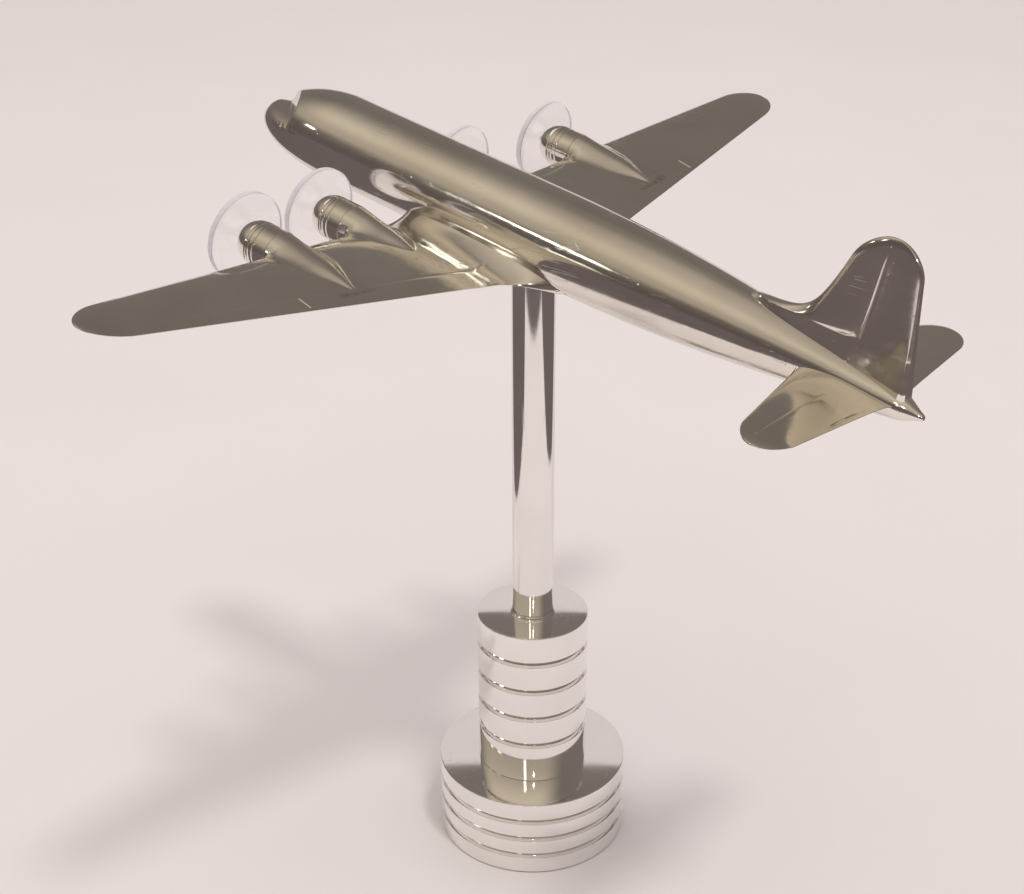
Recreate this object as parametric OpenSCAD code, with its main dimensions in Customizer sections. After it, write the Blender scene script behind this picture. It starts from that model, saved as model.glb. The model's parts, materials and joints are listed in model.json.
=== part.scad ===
// Desktop model of a four-engined propeller airliner, climbing on a polished column that
// stands on a grooved drum and a grooved round base. Millimetres, +Z up, nose towards +X.
// The origin is the centre of the underside of the base.

/* [Base] */
// Diameter of the round base
base_d = 90; // [80:1:110]
// Height of the base, felt included
base_h = 40; // [36:1:48]
// Number of turned grooves round the base
base_grooves = 3; // [0:1:3]
// Diameter of the drum on the base
drum_d = 52; // [46:1:60]
// Height of the drum
drum_h = 80; // [72:1:90]
// Number of turned grooves round the drum
drum_grooves = 4; // [0:1:4]
// Height of one turned groove
groove_h = 2.8; // [2:0.1:3.4]
// Depth of one turned groove
groove_depth = 2.2; // [1:0.1:3]
// Thickness of the felt under the base
felt_t = 2; // [1:0.5:3]

/* [Column] */
// Diameter of the column, a three-quarter-inch bar
column_d = 19.05; // [18:0.05:21]
// Height of the column's top end above the table
column_top = 292; // [290:0.5:294]
// Diameter of the spigot that the aircraft turns on
spigot_d = 6; // [5:0.5:7]
// Radial clearance of a turning fit
running_gap = 0.05; // [0.02:0.01:0.1]

/* [Aircraft] */
// Height of the fuselage axis over the column's centre
axis_h = 307.5; // [306:0.5:309]
// Angle that the nose is raised
climb = 8.2; // [6:0.1:10]
// Largest radius of the fuselage
body_r = 19.8; // [19:0.1:20.5]
// Where the nose ends, ahead of the column
nose_x = 167.5; // [165:0.5:170]
// Where the tail ends, behind the column
tail_x = 190; // [185:1:196]
// Half of the wing span
half_span = 207; // [200:1:212]
// Rise of the wing for each millimetre of span
dihedral = 0.113; // [0.09:0.001:0.13]
// Half of the tailplane span
tail_half_span = 69.5; // [64:0.5:72]
// Height of the fin above the fuselage axis
fin_top = 58; // [55:1:62]

/* [Engines] */
// Distance of the inner and outer engines from the centre line
engine_y = [44, 93];
// Largest radius of a cowl
cowl_r = 9.5; // [9:0.1:10]
// Radius of a propeller disc
disc_r = 18.6; // [16:0.1:19]
// Thickness of the clear sheet that the discs are cut from
disc_t = 3; // [2.5:0.5:3.5]
// Diameter of a hub pin's shank
pin_d = 3; // [2:0.5:3.5]

/* [Hidden] */

round_fn = 64;
edge = 0.5;                       // chamfer on turned edges
felt_proud = 0.5;                 // felt that shows below the base
felt_d = base_d - 10;
rod_d = 8;                        // threaded tie rod through base and drum
rod_gap = 0.1;                    // clearance hole round the rod, on the radius
nut_pocket_d = 24;
nut_pocket_h = 14;
nut_h = 6.5;
nut_r = 7.5;                      // hexagon, over its corners
washer_h = 1.6;
washer_r = 9;
rod_in_column = 26;
collar_h = 1.5;
collar_r = column_d / 2 + 0.9;
spigot_in_column = 15;
spigot_up = 13;
socket_gap = 0.35;                // round the column's end in the belly
drum_z = base_h;
column_z = base_h + drum_h;

wing_root_y = 14;                 // the wing's inner face, inside the fuselage
wing_fillet = 18;                 // how far the root fillet reaches outwards
wing_tip_y = half_span - 15;      // where the rounded tip starts
wing_points = 12;                 // points on one side of a wing section
body_sides = 32;
engine_x = [86.8, 77.7];          // front face of the inner and outer discs
engine_z = [-12, -7.4];
cowl_len = 20;
cowl_grooves = [6.8, 9.4, 11.2];  // from the cowl's back edge
cowl_dome = 8.2;                  // length of the rounded front
cowl_face_r = 5;                  // flat face in front
groove_r = 0.7;
pin_head_r = 2.1;
pin_head_h = 2.6;
pin_deep = 32;                    // from the disc's front face to the pin's end
nacelle_len = [43.2, 46.2];
nacelle_end_r = 0.4;              // where it runs out in the wing
seat_gap = 0.02;                  // round a nacelle in its seat in the wing
dowel_d = 4;
dowel_x = [38, 18];
dowel_z = -14;
dowel_half = 24;
tail_dowel_d = 3;
fin_dowel_x = -168;
tail_dowel_x = -152;
body_front = 113;                 // where the nose starts to round in
body_rear = -8;                   // where the tail starts to taper

// ---- shared shapes ----

// Solid through a list of closed sections, each the same number of points, listed so that
// a section runs clockwise to an eye that looks along the list.
module loft(sections) {
    n = len(sections);
    m = len(sections[0]);
    sides = [for (i = [0 : n - 2], j = [0 : m - 1])
        let (a = i * m + j, b = i * m + (j + 1) % m, c = a + m, d = b + m)
        each [[a, c, b], [b, c, d]]];
    polyhedron(
        points = [for (s = sections) each s],
        faces = concat(sides, [[for (j = [0 : m - 1]) j]],
            [[for (j = [m - 1 : -1 : 0]) (n - 1) * m + j]]),
        convexity = 6);
}

// Carries a shape from the aircraft's own axes to its climbing place on the column.
module in_flight() {
    translate([0, 0, axis_h]) rotate([0, -climb, 0]) children();
}

// Turns a profile drawn as radius and height into a shape along the aircraft's +X.
module along_x() {
    rotate([0, 90, 0]) rotate_extrude($fn = round_fn) children();
}

// Grooved cylinder with chamfered ends; first is the top groove's distance below the top.
module turned_block(d, h, grooves, first, pitch) {
    rotate_extrude($fn = 96) difference() {
        polygon([[0, 0], [d / 2 - edge, 0], [d / 2, edge], [d / 2, h - edge],
            [d / 2 - edge, h], [0, h]]);
        for (i = [0 : 1 : grooves - 1])
            translate([d / 2 - groove_depth, h - first - i * pitch - groove_h])
                square([groove_depth + 1, groove_h]);
    }
}

// Half thickness of a streamlined section of unit chord, at a fraction of the chord.
function streamline(c) = 5 * (0.2969 * sqrt(c) - 0.126 * c - 0.3516 * c * c
    + 0.2843 * pow(c, 3) - 0.1036 * pow(c, 4));

// Chord fractions, close together at the leading edge.
function chord_step(i, n) = 0.5 - 0.5 * cos(180 * i / n);

// ---- stand ----

module felt_pad() {
    color("darkgreen") cylinder(d = felt_d, h = felt_t, $fn = 96);
}

module base_disc() {
    color("gainsboro") difference() {
        translate([0, 0, felt_proud])
            turned_block(base_d, base_h - felt_proud, base_grooves, 8.6, 9.9);
        translate([0, 0, -1]) cylinder(d = felt_d + 0.4, h = felt_t + 1, $fn = 96);
        translate([0, 0, -1]) cylinder(d = nut_pocket_d, h = felt_t + nut_pocket_h + 1, $fn = 48);
        cylinder(r = rod_d / 2 + rod_gap, h = base_h + 1, $fn = 48);
    }
}

module drum() {
    color("gainsboro") difference() {
        translate([0, 0, drum_z]) turned_block(drum_d, drum_h, drum_grooves, 13.1, 15.1);
        translate([0, 0, drum_z - 1])
            cylinder(r = rod_d / 2 + rod_gap, h = drum_h + 2, $fn = 48);
    }
}

module collar_ring() {
    color("silver") translate([0, 0, column_z]) difference() {
        cylinder(r = collar_r, h = collar_h, $fn = 64);
        translate([0, 0, -1]) cylinder(r = column_d / 2 + rod_gap, h = collar_h + 2, $fn = 64);
    }
}

module column() {
    color("gainsboro") difference() {
        translate([0, 0, column_z]) cylinder(d = column_d, h = column_top - column_z, $fn = 64);
        translate([0, 0, column_z - 1])
            cylinder(r = rod_d / 2 + rod_gap, h = rod_in_column + 2, $fn = 48);
        translate([0, 0, column_top - spigot_in_column])
            cylinder(d = spigot_d, h = spigot_in_column + 1, $fn = 48);
    }
}

module tie_rod() {
    rod_z = felt_t + 2;
    color("gray") translate([0, 0, rod_z])
        cylinder(d = rod_d, h = column_z + rod_in_column - rod_z, $fn = 48);
}

module tie_washer() {
    color("silver") translate([0, 0, felt_t + nut_pocket_h - washer_h]) difference() {
        cylinder(r = washer_r, h = washer_h, $fn = 48);
        translate([0, 0, -1]) cylinder(r = rod_d / 2 + rod_gap, h = washer_h + 2, $fn = 48);
    }
}

module tie_nut() {
    color("silver") translate([0, 0, felt_t + nut_pocket_h - washer_h - nut_h]) difference() {
        cylinder(r = nut_r, h = nut_h, $fn = 6);
        translate([0, 0, -1]) cylinder(r = rod_d / 2 + rod_gap, h = nut_h + 2, $fn = 48);
    }
}

module spigot() {
    color("gray") translate([0, 0, column_top - spigot_in_column])
        cylinder(d = spigot_d, h = spigot_in_column + spigot_up, $fn = 48);
}

// ---- fuselage ----

// How far a station is into the nose: 0 at body_front, 1 at the tip.
function nose_part(x) = (x - body_front) / (nose_x - body_front);

// Rounding of the nose: 1 at body_front, 0 at the tip.
function nose_round(x) = pow(1 - pow(nose_part(x), 2), 0.6);

// Taper of the tail: 1 at body_rear, down to the small round end.
function tail_taper(x) = 1 - 0.94 * pow((body_rear - x) / (tail_x + body_rear), 2.2);

function body_radius(x) =
    x > body_front ? body_r * nose_round(x) : x < body_rear ? body_r * tail_taper(x) : body_r;

// Drop of the section's centre, at the nose and towards the tail.
function body_drop(x) =
    x > body_front ? -5.2 * pow(nose_part(x), 2)
    : x < -100 ? -3 * pow((-100 - x) / (tail_x - 100), 2) : 0;

// Height of the crown above the centre: the nose lies low and the windscreen steps up from it.
windscreen_x = [147, 152.5];
nose_crown = 7.8;
function step_up(x) = min(1, max(0, (windscreen_x[1] - x) / (windscreen_x[1] - windscreen_x[0])));
function crown(x) = let (r = body_radius(x), low = min(r, nose_crown)) low + (r - low) * step_up(x);

body_x = concat(
    [for (i = [0 : 9]) -tail_x + i * 6],
    [for (i = [0 : 9]) -tail_x + 60 + i * 12],
    [-8, 20, 50, 80, 105, body_front, 121, 128, 134, 139, 143, windscreen_x[0], 148.3, 149.7, 151.1,
        windscreen_x[1]],
    [for (i = [1 : 7]) nose_x - (nose_x - windscreen_x[1]) * pow(1 - i / 7.4, 1.5)]);

function body_section(x) = [for (j = [0 : body_sides - 1])
    let (a = 360 * j / body_sides, r = body_radius(x), up = sin(a) > 0 ? crown(x) : r)
    [x, r * cos(a), body_drop(x) + up * sin(a)]];

module body_shell() {
    loft([for (x = body_x) body_section(x)]);
}

module fuselage() {
    color("silver") difference() {
        in_flight() difference() {
            body_shell();
            wing_shape();
            mirror([0, 1, 0]) wing_shape();
            fin_shape();
            tailplane_shape();
            mirror([0, 1, 0]) tailplane_shape();
            for (x = dowel_x) dowel_hole([x, 0, dowel_z], dowel_d, dowel_half);
            dowel_hole([tail_dowel_x, 0, tail_z], tail_dowel_d, 12);
            translate([fin_dowel_x, 0, 0]) cylinder(d = tail_dowel_d, h = 14, $fn = 32);
        }
        cylinder(r = column_d / 2 + socket_gap, h = column_top, $fn = 64);
        translate([0, 0, column_top - 1])
            cylinder(r = spigot_d / 2 + running_gap, h = spigot_up + 2, $fn = 48);
    }
}

// ---- wings ----

module dowel_hole(at, d, half) {
    translate(at) rotate([90, 0, 0]) cylinder(d = d, h = 2 * half, center = true, $fn = 32);
}

// 1 at the fuselage, falling smoothly to 0 where the root fillet ends.
function root_blend(y) = pow(max(0, 1 - (y - wing_root_y) / wing_fillet), 2.5);

// 1 inboard of the rounded tip, 0 at the very end.
function tip_round(y) = y <= wing_tip_y ? 1
    : sqrt(max(0.0005, 1 - pow((y - wing_tip_y) / (half_span - wing_tip_y), 2)));

function wing_front(y) = 60.3 - 0.091 * y + 1.5 * root_blend(y);
function wing_back(y) = -13.8 + 0.154 * y - 19 * root_blend(y);
function wing_mid_z(y) = -17.6 + dihedral * y + 1.6 * root_blend(y);

// Half thickness: a streamlined section that swells into a blunt saddle at the root.
function wing_half(c, y) =
    let (chord = wing_front(y) - wing_back(y), b = root_blend(y),
         saddle = 8.6 * pow(max(0, 1 - pow(abs(2 * c - 1), 4)), 0.5))
    (1 - b) * 0.125 * chord * streamline(c) + b * saddle;

function wing_section(y) =
    let (k = tip_round(y), n = wing_points, middle = (wing_front(y) + wing_back(y)) / 2,
         half = k * (wing_front(y) - wing_back(y)) / 2, z = wing_mid_z(y))
    concat(
        [for (i = [0 : n]) let (c = chord_step(i, n))
            [middle + half - 2 * half * c, y, z - 0.8 * k * wing_half(c, y) - 0.12]],
        [for (i = [n : -1 : 0]) let (c = chord_step(i, n))
            [middle + half - 2 * half * c, y, z + k * wing_half(c, y) + 0.12]]);

wing_y = concat(
    [for (i = [0 : 9]) wing_root_y + wing_fillet * i / 9],
    [for (i = [1 : 8]) 32 + (wing_tip_y - 32) * i / 8],
    [for (i = [1 : 7]) wing_tip_y + (half_span - wing_tip_y) * sin(88 * i / 7)]);

module wing_shape() {
    loft([for (y = wing_y) wing_section(y)]);
}

module wing() {
    difference() {
        wing_shape();
        for (k = [0, 1]) translate([0, engine_y[k], engine_z[k]]) nacelle_shape(k, seat_gap);
        for (x = dowel_x) dowel_hole([x, 0, dowel_z], dowel_d, dowel_half);
    }
}

module wing_left() {
    color("darkgray") in_flight() wing();
}

module wing_right() {
    color("darkgray") in_flight() mirror([0, 1, 0]) wing();
}

module wing_dowel(k) {
    color("gray") in_flight() dowel_hole([dowel_x[k], 0, dowel_z], dowel_d, dowel_half - 0.5);
}

module wing_dowel_front() { wing_dowel(0); }

module wing_dowel_rear() { wing_dowel(1); }

// ---- tail ----

fin_round_z = fin_top - 12;

function fin_front(z) = max(z < 16 ? -146.3 - 0.333 * (z - 40) + 26.7 : -999,
    -146.3 - 0.333 * (z - 40) + 40 / max(1.5, z - 14.5));
function fin_back(z) = -176.3 - 0.13 * (fin_round_z - z);
function fin_half(z) = 2.9 - 0.022 * max(0, z - 10) + 4.5 * exp(-max(0, z - 8) / 3);
function fin_round(z) = z <= fin_round_z ? 1
    : sqrt(max(0.0005, 1 - pow((z - fin_round_z) / (fin_top - fin_round_z), 2)));

// Sections slope with the crown of the tail at the root and lie level higher up.
fin_slope = 0.14;
function fin_section(z) =
    let (k = fin_round(z), middle = (fin_front(z) + fin_back(z)) / 2, n = 10,
         half = k * (fin_front(z) - fin_back(z)) / 2, lean = fin_slope * max(0, 1 - (z - 4) / 12))
    concat(
        [for (i = [0 : n]) let (c = chord_step(i, n), x = middle + half - 2 * half * c)
            [x, k * fin_half(z) * streamline(c) * 2 + 0.12, z + lean * (x + 180)]],
        [for (i = [n : -1 : 0]) let (c = chord_step(i, n), x = middle + half - 2 * half * c)
            [x, -k * fin_half(z) * streamline(c) * 2 - 0.12, z + lean * (x + 180)]]);

fin_z = concat([1.5, 4, 6, 8, 10, 12, 14, 16, 18, 20, 23, 27, 32, 38, fin_round_z],
    [for (i = [1 : 6]) fin_round_z + (fin_top - fin_round_z) * sin(88 * i / 6)]);

module fin_shape() {
    loft([for (z = fin_z) fin_section(z)]);
}

module fin() {
    color("silver") in_flight() difference() {
        fin_shape();
        translate([fin_dowel_x, 0, 0]) cylinder(d = tail_dowel_d, h = 14, $fn = 32);
    }
}

module fin_dowel() {
    color("gray") in_flight() translate([fin_dowel_x, 0, 0.2])
        cylinder(d = tail_dowel_d, h = 13.4, $fn = 32);
}

tail_z = -1.1;
tail_root_y = 3;
tail_tip_y = tail_half_span - 12;

function tail_blend(y) = exp(-max(0, y - 4) / 4);
function tail_front(y) = -138.5 - 0.2 * y + 3 * tail_blend(y);
function tail_back(y) = -178 + 0.105 * y - 2 * tail_blend(y);
function tail_round(y) = y <= tail_tip_y ? 1
    : sqrt(max(0.0005, 1 - pow((y - tail_tip_y) / (tail_half_span - tail_tip_y), 2)));

function tail_section(y) =
    let (k = tail_round(y), middle = (tail_front(y) + tail_back(y)) / 2, n = 10,
         half = k * (tail_front(y) - tail_back(y)) / 2,
         thick = k * (2.1 - 0.012 * y + 2.2 * tail_blend(y)))
    concat(
        [for (i = [0 : n]) let (c = chord_step(i, n))
            [middle + half - 2 * half * c, y, tail_z - 2 * thick * streamline(c) - 0.12]],
        [for (i = [n : -1 : 0]) let (c = chord_step(i, n))
            [middle + half - 2 * half * c, y, tail_z + 2 * thick * streamline(c) + 0.12]]);

tail_y = concat([tail_root_y, 5, 7, 9, 12, 16, 22, 30, 42, tail_tip_y],
    [for (i = [1 : 6]) tail_tip_y + (tail_half_span - tail_tip_y) * sin(88 * i / 6)]);

module tailplane_shape() {
    loft([for (y = tail_y) tail_section(y)]);
}

module tailplane() {
    difference() {
        tailplane_shape();
        dowel_hole([tail_dowel_x, 0, tail_z], tail_dowel_d, 12);
    }
}

module tailplane_left() {
    color("darkgray") in_flight() tailplane();
}

module tailplane_right() {
    color("darkgray") in_flight() mirror([0, 1, 0]) tailplane();
}

module tailplane_dowel() {
    color("gray") in_flight() dowel_hole([tail_dowel_x, 0, tail_z], tail_dowel_d, 11.5);
}

// ---- engines; k is 0 for the inner engine, 1 for the outer ----

module at_engine(side, k) {
    in_flight() translate([engine_x[k], side * engine_y[k], engine_z[k]]) children();
}

// Nacelle drawn at its engine's height, from the cowl back to a small blunt end in the wing.
module nacelle_shape(k, gap = 0) {
    front = engine_x[k] - disc_t - cowl_len;
    n = 10;
    translate([front - nacelle_len[k], 0, 0]) along_x() polygon(concat(
        [[0, -gap], [nacelle_end_r + gap, -gap]],
        [for (i = [1 : n]) [cowl_r * pow(i / n, 0.62) + gap, nacelle_len[k] * i / n]],
        [[0, nacelle_len[k]]]));
}

module nacelle(side, k) {
    color("darkgray") difference() {
        in_flight() translate([0, side * engine_y[k], engine_z[k]]) nacelle_shape(k);
        at_engine(side, k) pin_bore(pin_d / 2);
    }
}

module pin_bore(r) {
    translate([-pin_deep, 0, 0]) rotate([0, 90, 0]) cylinder(r = r, h = pin_deep + 1, $fn = 32);
}

// Cowl with a domed front and three fine turned grooves.
module cowl(side, k) {
    n = 8;
    back = cowl_len - cowl_dome;
    color("silver") difference() {
        at_engine(side, k) translate([-disc_t - cowl_len, 0, 0]) along_x() difference() {
            polygon(concat([[0, 0], [cowl_r, 0]],
                [for (i = [0 : n]) [cowl_face_r + (cowl_r - cowl_face_r) * pow(cos(90 * i / n), 1.6),
                    back + cowl_dome * sin(90 * i / n)]],
                [[0, cowl_len]]));
            for (s = cowl_grooves) translate([cowl_r, s]) circle(r = groove_r, $fn = 16);
        }
        at_engine(side, k) pin_bore(pin_d / 2);
    }
}

module prop_disc(side, k) {
    color([0.85, 0.93, 0.95, 0.35]) at_engine(side, k) translate([-disc_t + 0.1, 0, 0])
        rotate([0, 90, 0]) difference() {
            cylinder(r = disc_r, h = disc_t - 0.2, $fn = 96);
            translate([0, 0, -1]) cylinder(r = pin_d / 2 + running_gap, h = disc_t + 2, $fn = 32);
        }
}

// Pin with a rounded head, turned as one profile from its inner end to the head's crown.
module hub_pin(side, k) {
    n = 6;
    rim = 0.8;
    color("gray") at_engine(side, k) along_x() polygon(concat(
        [[0, 0.2 - pin_deep], [pin_d / 2, 0.2 - pin_deep], [pin_d / 2, 0], [pin_head_r, 0]],
        [for (i = [0 : n])
            [pin_head_r * cos(90 * i / n), rim + (pin_head_h - rim) * sin(90 * i / n)]]));
}

module nacelle_left_outer() { nacelle(1, 1); }
module nacelle_left_inner() { nacelle(1, 0); }
module nacelle_right_inner() { nacelle(-1, 0); }
module nacelle_right_outer() { nacelle(-1, 1); }
module cowl_left_outer() { cowl(1, 1); }
module cowl_left_inner() { cowl(1, 0); }
module cowl_right_inner() { cowl(-1, 0); }
module cowl_right_outer() { cowl(-1, 1); }
module prop_disc_left_outer() { prop_disc(1, 1); }
module prop_disc_left_inner() { prop_disc(1, 0); }
module prop_disc_right_inner() { prop_disc(-1, 0); }
module prop_disc_right_outer() { prop_disc(-1, 1); }
module hub_pin_left_outer() { hub_pin(1, 1); }
module hub_pin_left_inner() { hub_pin(1, 0); }
module hub_pin_right_inner() { hub_pin(-1, 0); }
module hub_pin_right_outer() { hub_pin(-1, 1); }

felt_pad();
base_disc();
drum();
collar_ring();
column();
tie_rod();
tie_washer();
tie_nut();
spigot();
fuselage();
wing_left();
wing_right();
wing_dowel_front();
wing_dowel_rear();
fin();
fin_dowel();
tailplane_left();
tailplane_right();
tailplane_dowel();
nacelle_left_outer();
nacelle_left_inner();
nacelle_right_inner();
nacelle_right_outer();
cowl_left_outer();
cowl_left_inner();
cowl_right_inner();
cowl_right_outer();
prop_disc_left_outer();
prop_disc_left_inner();
prop_disc_right_inner();
prop_disc_right_outer();
hub_pin_left_outer();
hub_pin_left_inner();
hub_pin_right_inner();
hub_pin_right_outer();
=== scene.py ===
"""Looks of the desktop airliner model: a polished aluminium aircraft with clear propeller
discs, climbing on a turned and polished stand. Shapes are worked out in millimetres, the
aircraft's in its own axes: x towards the nose, y to port and z up."""

import json
import math

import bmesh
import bpy
import numpy as np
from mathutils import Matrix, Vector


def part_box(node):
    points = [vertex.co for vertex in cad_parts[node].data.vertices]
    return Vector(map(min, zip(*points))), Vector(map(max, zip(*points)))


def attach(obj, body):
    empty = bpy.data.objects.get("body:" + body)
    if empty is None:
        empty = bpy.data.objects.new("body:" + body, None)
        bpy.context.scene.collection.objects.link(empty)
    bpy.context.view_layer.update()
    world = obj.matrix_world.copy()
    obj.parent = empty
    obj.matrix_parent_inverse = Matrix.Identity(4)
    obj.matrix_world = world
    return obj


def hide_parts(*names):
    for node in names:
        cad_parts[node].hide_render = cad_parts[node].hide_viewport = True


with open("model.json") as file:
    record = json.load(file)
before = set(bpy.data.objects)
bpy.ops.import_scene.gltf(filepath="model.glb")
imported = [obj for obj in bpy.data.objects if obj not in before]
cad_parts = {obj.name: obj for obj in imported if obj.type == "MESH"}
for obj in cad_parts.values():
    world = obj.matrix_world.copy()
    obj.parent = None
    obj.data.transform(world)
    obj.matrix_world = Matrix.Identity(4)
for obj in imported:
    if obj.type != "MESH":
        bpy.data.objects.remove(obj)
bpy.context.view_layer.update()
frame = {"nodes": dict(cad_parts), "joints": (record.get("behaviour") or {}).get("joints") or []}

MM = 0.001

# ---- sizes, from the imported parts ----


def low(node):
    return np.array(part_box(node)[0]) / MM


def high(node):
    return np.array(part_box(node)[1]) / MM


def width(node):
    return high(node)[1] - low(node)[1]


JOINTS = {joint["name"]: joint for joint in frame["joints"]}
spin_axis = JOINTS["disc_left_outer_spin"]["axis"]
CLIMB = math.atan2(spin_axis[2], spin_axis[0])

BASE_R = width("base_disc") / 2
BASE_TOP = high("base_disc")[2]
BASE_LOW = low("base_disc")[2]
DRUM_R = width("drum") / 2
DRUM_TOP = high("drum")[2]
COLUMN_R = width("column") / 2
COLUMN_TOP = high("column")[2]
FELT_R = width("felt_pad") / 2
FELT_T = high("felt_pad")[2]
HALF_SPAN = high("wing_left")[1]
TAIL_HALF_SPAN = high("tailplane_left")[1]
COLLAR_R = width("collar_ring") / 2
COLLAR_TOP = high("collar_ring")[2]
ROD_HOLE_R = width("tie_rod") / 2 + 0.1
ROD_TOP = high("tie_rod")[2]
SPIGOT_R = width("spigot") / 2
SPIGOT_LOW = low("spigot")[2]
WASHER_TOP = high("tie_washer")[2]
DISC_R = width("prop_disc_left_outer") / 2
COWL_R = width("cowl_left_outer") / 2

AXIS_H = COLUMN_TOP + 15.5          # fuselage axis over the column's centre


def to_world(points):
    """Points in the aircraft's own axes, in mm, to places in the frame, in metres."""
    p = np.asarray(points, float)
    x, y, z = p[..., 0], p[..., 1], p[..., 2]
    c, s = math.cos(CLIMB), math.sin(CLIMB)
    return np.stack([x * c - z * s, y, AXIS_H + x * s + z * c], -1) * MM


def to_aircraft(point):
    """A place in the frame, in metres, to the aircraft's own axes, in mm."""
    x, y, z = point[0] / MM, point[1] / MM, point[2] / MM - AXIS_H
    c, s = math.cos(CLIMB), math.sin(CLIMB)
    return np.array([x * c + z * s, y, -x * s + z * c])


def upright(points):
    """Points in the stand's axes, in mm, to metres."""
    return np.asarray(points, float) * MM


# ---- mesh building ----


def smooth(low_edge, high_edge, value):
    t = np.clip((value - low_edge) / (high_edge - low_edge), 0, 1)
    return t * t * (3 - 2 * t)


def make_object(name, verts, faces, material, crease=32):
    mesh = bpy.data.meshes.new(name)
    mesh.from_pydata([tuple(v) for v in verts], [], faces)
    work = bmesh.new()
    work.from_mesh(mesh)
    bmesh.ops.recalc_face_normals(work, faces=work.faces)
    work.to_mesh(mesh)
    work.free()
    mesh.shade_smooth()
    mesh.set_sharp_from_angle(angle=math.radians(crease))
    mesh.materials.append(material)
    obj = bpy.data.objects.new(name, mesh)
    bpy.context.scene.collection.objects.link(obj)
    return obj


def skin(name, rings, material, crease=32):
    """Closed solid through a stack of closed rings, (rings, points, 3), in metres."""
    n, m = rings.shape[:2]
    verts = list(rings.reshape(-1, 3))
    faces = []
    for i in range(n - 1):
        for j in range(m):
            k = (j + 1) % m
            faces.append((i * m + j, i * m + k, (i + 1) * m + k, (i + 1) * m + j))
    for i, first in ((0, 0), (n - 1, (n - 1) * m)):
        centre = len(verts)
        verts.append(rings[i].mean(0))
        faces += [(first + j, first + (j + 1) % m, centre) for j in range(m)]
    return make_object(name, verts, faces, material, crease)


def lathe(profile, segments=224):
    """Verts and faces of a profile of (radius, height) turned round Z, in mm. A profile
    that starts and ends on the axis closes there; any other closes on itself."""
    angles = np.linspace(0, 2 * math.pi, segments, endpoint=False)
    ring = np.stack([np.cos(angles), np.sin(angles)], -1)
    on_axis = profile[0][0] == 0
    verts, rows = [], []
    for r, z in profile:
        if r == 0:
            rows.append([len(verts)] * segments)
            verts.append((0, 0, z))
        else:
            rows.append(list(range(len(verts), len(verts) + segments)))
            verts += [(r * x, r * y, z) for x, y in ring]
    if not on_axis:
        rows.append(rows[0])
    faces = []
    for a, b in zip(rows, rows[1:]):
        for j in range(segments):
            k = (j + 1) % segments
            corners = dict.fromkeys((a[j], a[k], b[k], b[j]))
            if len(corners) > 2:
                faces.append(tuple(corners))
    return np.array(verts), faces


def eased(corners, steps=4):
    """A profile from (radius, height, easing) corners, each eased to an arc of that size."""
    out = []
    n = len(corners)
    for i, (r, z, ease) in enumerate(corners):
        here = np.array([r, z])
        if ease == 0:
            out.append((r, z))
            continue
        before = np.array(corners[(i - 1) % n][:2]) - here
        after = np.array(corners[(i + 1) % n][:2]) - here
        a = here + before / np.linalg.norm(before) * ease
        b = here + after / np.linalg.norm(after) * ease
        for t in np.linspace(0, 1, steps + 1):
            p = (1 - t) ** 2 * a + 2 * t * (1 - t) * here + t * t * b
            out.append((float(p[0]), float(p[1])))
    return out


def turned(name, corners, material, place=upright, segments=224, steps=4, crease=32):
    verts, faces = lathe(eased(corners, steps), segments)
    return make_object(name, place(verts), faces, material, crease)


def show(obj, body, slot, *nodes):
    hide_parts(*nodes)
    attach(obj, body)
    return obj


# ---- materials ----


class Nodes:
    """Short way to write a material's nodes."""

    def __init__(self, name):
        self.material = bpy.data.materials.new(name)
        self.material.use_nodes = True
        self.tree = self.material.node_tree
        self.shader = self.tree.nodes["Principled BSDF"]
        coords = self.tree.nodes.new("ShaderNodeTexCoord")
        self.place = coords.outputs["Object"]

    def add(self, kind, inputs=None, **settings):
        made = self.tree.nodes.new(kind)
        for key, value in settings.items():
            setattr(made, key, value)
        for key, value in (inputs or {}).items():
            self.put(made.inputs[key], value)
        return made

    def put(self, socket, value):
        if isinstance(value, bpy.types.NodeSocket):
            self.tree.links.new(value, socket)
        else:
            socket.default_value = value

    def math(self, operation, a, b=0.0):
        return self.add("ShaderNodeMath", {0: a, 1: b}, operation=operation).outputs[0]

    def stretched(self, scale):
        made = self.add("ShaderNodeMapping", {"Vector": self.place, "Scale": scale})
        return made.outputs[0]

    def noise(self, scale, detail=3.0, vector=None, rough=0.5):
        made = self.add(
            "ShaderNodeTexNoise",
            {"Vector": vector or self.place, "Scale": scale, "Detail": detail, "Roughness": rough},
        )
        return made.outputs["Fac"]

    def ramp(self, value, *stops):
        made = self.add("ShaderNodeValToRGB", {"Fac": value})
        elements = made.color_ramp.elements
        while len(elements) < len(stops):
            elements.new(0.5)
        for element, (position, colour) in zip(elements, stops):
            element.position = position
            element.color = (*colour, 1)
        return made.outputs["Color"]

    def spread(self, value, from_low, from_high, to_low, to_high):
        made = self.add("ShaderNodeMapRange", {
            "Value": value, "From Min": from_low, "From Max": from_high,
            "To Min": to_low, "To Max": to_high})
        return made.outputs["Result"]

    def bump(self, height, strength, distance, normal=None):
        made = self.add("ShaderNodeBump", {
            "Height": height, "Strength": strength, "Distance": distance})
        if normal is not None:
            self.put(made.inputs["Normal"], normal)
        return made.outputs["Normal"]

    def finish(self, **inputs):
        for key, value in inputs.items():
            self.put(self.shader.inputs[key.replace("_", " ")], value)
        return self.material


def scratches(n, scale, stretch, threshold):
    """Sparse fine scratches: 1 on a scratch, 0 elsewhere."""
    lines = n.noise(scale, 2.0, n.stretched(stretch))
    patches = n.noise(38, 1.0)
    line = n.spread(lines, threshold, threshold + 0.035, 0, 1)
    return n.math("MULTIPLY", line, n.spread(patches, 0.5, 0.62, 0, 1))


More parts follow.
